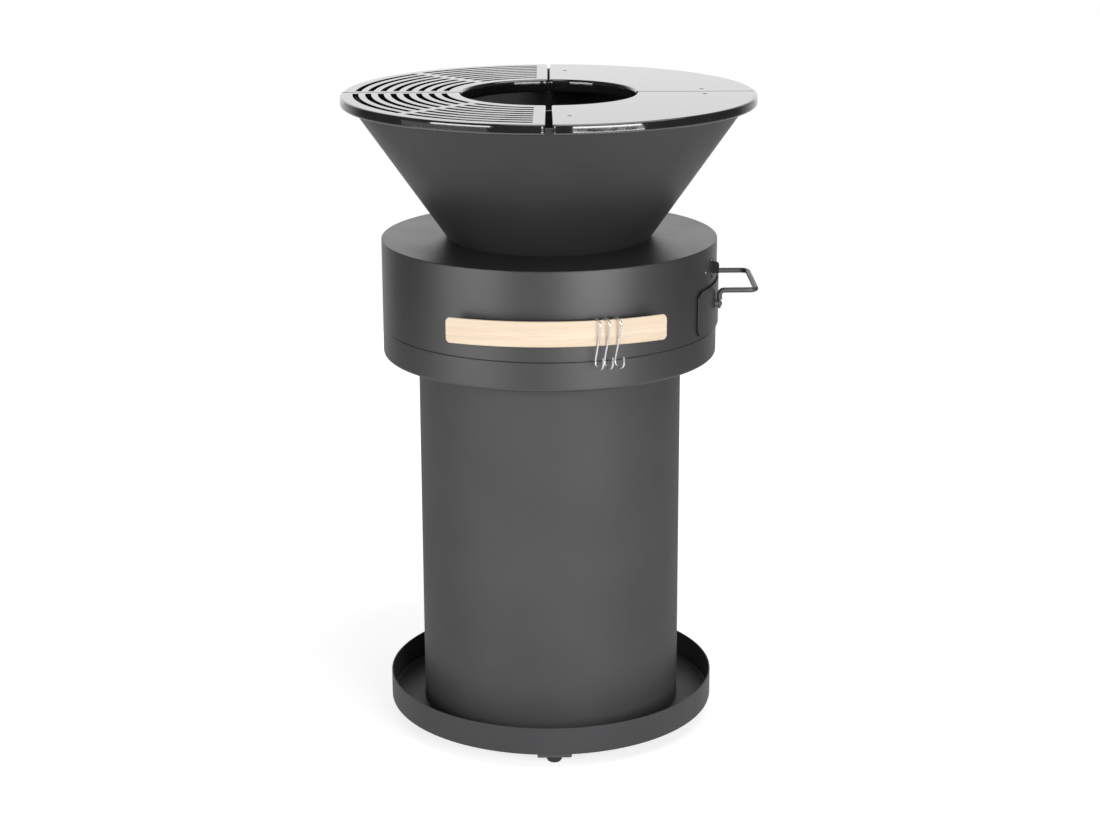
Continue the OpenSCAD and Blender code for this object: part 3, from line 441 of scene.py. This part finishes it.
def world():
    """White to the eye. In reflections, white behind the object and a dim studio in front."""
    world = bpy.data.worlds.new("studio")
    bpy.context.scene.world = world
    world.use_nodes = True
    tree = world.node_tree
    background = tree.nodes["Background"]
    direction = tree.nodes.new("ShaderNodeTexCoord").outputs["Generated"]
    axes = tree.nodes.new("ShaderNodeSeparateXYZ")
    tree.links.new(direction, axes.inputs[0])
    depth = tree.nodes.new("ShaderNodeMapRange")
    depth.interpolation_type = "SMOOTHSTEP"
    depth.inputs["From Min"].default_value = STUDIO_WHITE_FROM
    depth.inputs["From Max"].default_value = 1.0
    depth.inputs["To Min"].default_value = STUDIO_FRONT
    depth.inputs["To Max"].default_value = 1.0
    tree.links.new(axes.outputs["Y"], depth.inputs["Value"])
    path = tree.nodes.new("ShaderNodeLightPath")
    light = tree.nodes.new("ShaderNodeMix")
    tree.links.new(path.outputs["Is Glossy Ray"], light.inputs["Factor"])
    light.inputs[2].default_value = STUDIO_FILL
    tree.links.new(depth.outputs["Result"], light.inputs[3])
    seen = tree.nodes.new("ShaderNodeMath")
    seen.operation = "MAXIMUM"
    tree.links.new(path.outputs["Is Camera Ray"], seen.inputs[0])
    tree.links.new(path.outputs["Is Transmission Ray"], seen.inputs[1])
    pick = tree.nodes.new("ShaderNodeMix")
    tree.links.new(seen.outputs[0], pick.inputs["Factor"])
    tree.links.new(light.outputs[0], pick.inputs[2])
    pick.inputs[3].default_value = 1.0
    tree.links.new(pick.outputs[0], background.inputs["Strength"])
    background.inputs["Color"].default_value = (*WHITE, 1.0)


def softbox(name, place, target, size, radiance):
    """An area lamp of a given radiance that faces a target."""
    lamp = bpy.data.lights.new(name, "AREA")
    lamp.shape = "RECTANGLE"
    lamp.size, lamp.size_y = size
    lamp.energy = radiance * math.pi * size[0] * size[1]
    holder = bpy.data.objects.new(name, lamp)
    bpy.context.scene.collection.objects.link(holder)
    holder.location = place
    aim = (Vector(target) - Vector(place)).normalized()
    holder.rotation_euler = aim.to_track_quat("-Z", "Y").to_euler()
    holder.visible_camera = False
    return holder


def standing_box(name, left, right, low, high, radiance):
    """A softbox on the studio's circle, which faces the axis."""
    turn = math.radians((left + right) / 2)
    width = 2 * STUDIO_R * math.sin(math.radians((right - left) / 2))
    middle = (low + high) / 2
    place = (STUDIO_R * math.sin(turn), -STUDIO_R * math.cos(turn), middle)
    softbox(name, place, (0.0, 0.0, middle), (width, high - low), radiance)


def lights():
    softbox("back_box", (0.0, 3.6, 1.6), (0.0, 0.0, 0.9), (5.0, 2.4), 0.46)
    for name, box in STANDING_BOXES.items():
        standing_box(name, *box)
    softbox("top_box", (0.7, -0.4, 3.2), (0.0, 0.0, 0.5), (2.4, 2.4), 1.9)


def camera():
    forward = Vector((
        math.sin(CAMERA_AZIMUTH) * math.cos(CAMERA_PITCH),
        math.cos(CAMERA_AZIMUTH) * math.cos(CAMERA_PITCH),
        math.sin(CAMERA_PITCH),
    ))
    level = Vector((math.cos(CAMERA_AZIMUTH), -math.sin(CAMERA_AZIMUTH), 0.0))
    upright = level.cross(forward)
    right = level * math.cos(CAMERA_ROLL) - upright * math.sin(CAMERA_ROLL)
    up = upright * math.cos(CAMERA_ROLL) + level * math.sin(CAMERA_ROLL)
    lens = bpy.data.cameras.new("camera")
    lens.sensor_width = SENSOR_W
    lens.lens = FOCAL_PX * SENSOR_W / IMAGE_W
    holder = bpy.data.objects.new("camera", lens)
    bpy.context.scene.collection.objects.link(holder)
    turn = Matrix((right, up, -forward)).transposed().to_4x4()
    holder.matrix_world = Matrix.Translation(CAMERA_PLACE) @ turn
    bpy.context.scene.camera = holder


camera()
finishes = dress_nodes()
bowl_seams(finishes)
column_seam(finishes)
floor()
world()
lights()
bpy.context.scene.view_settings.view_transform = "Standard"
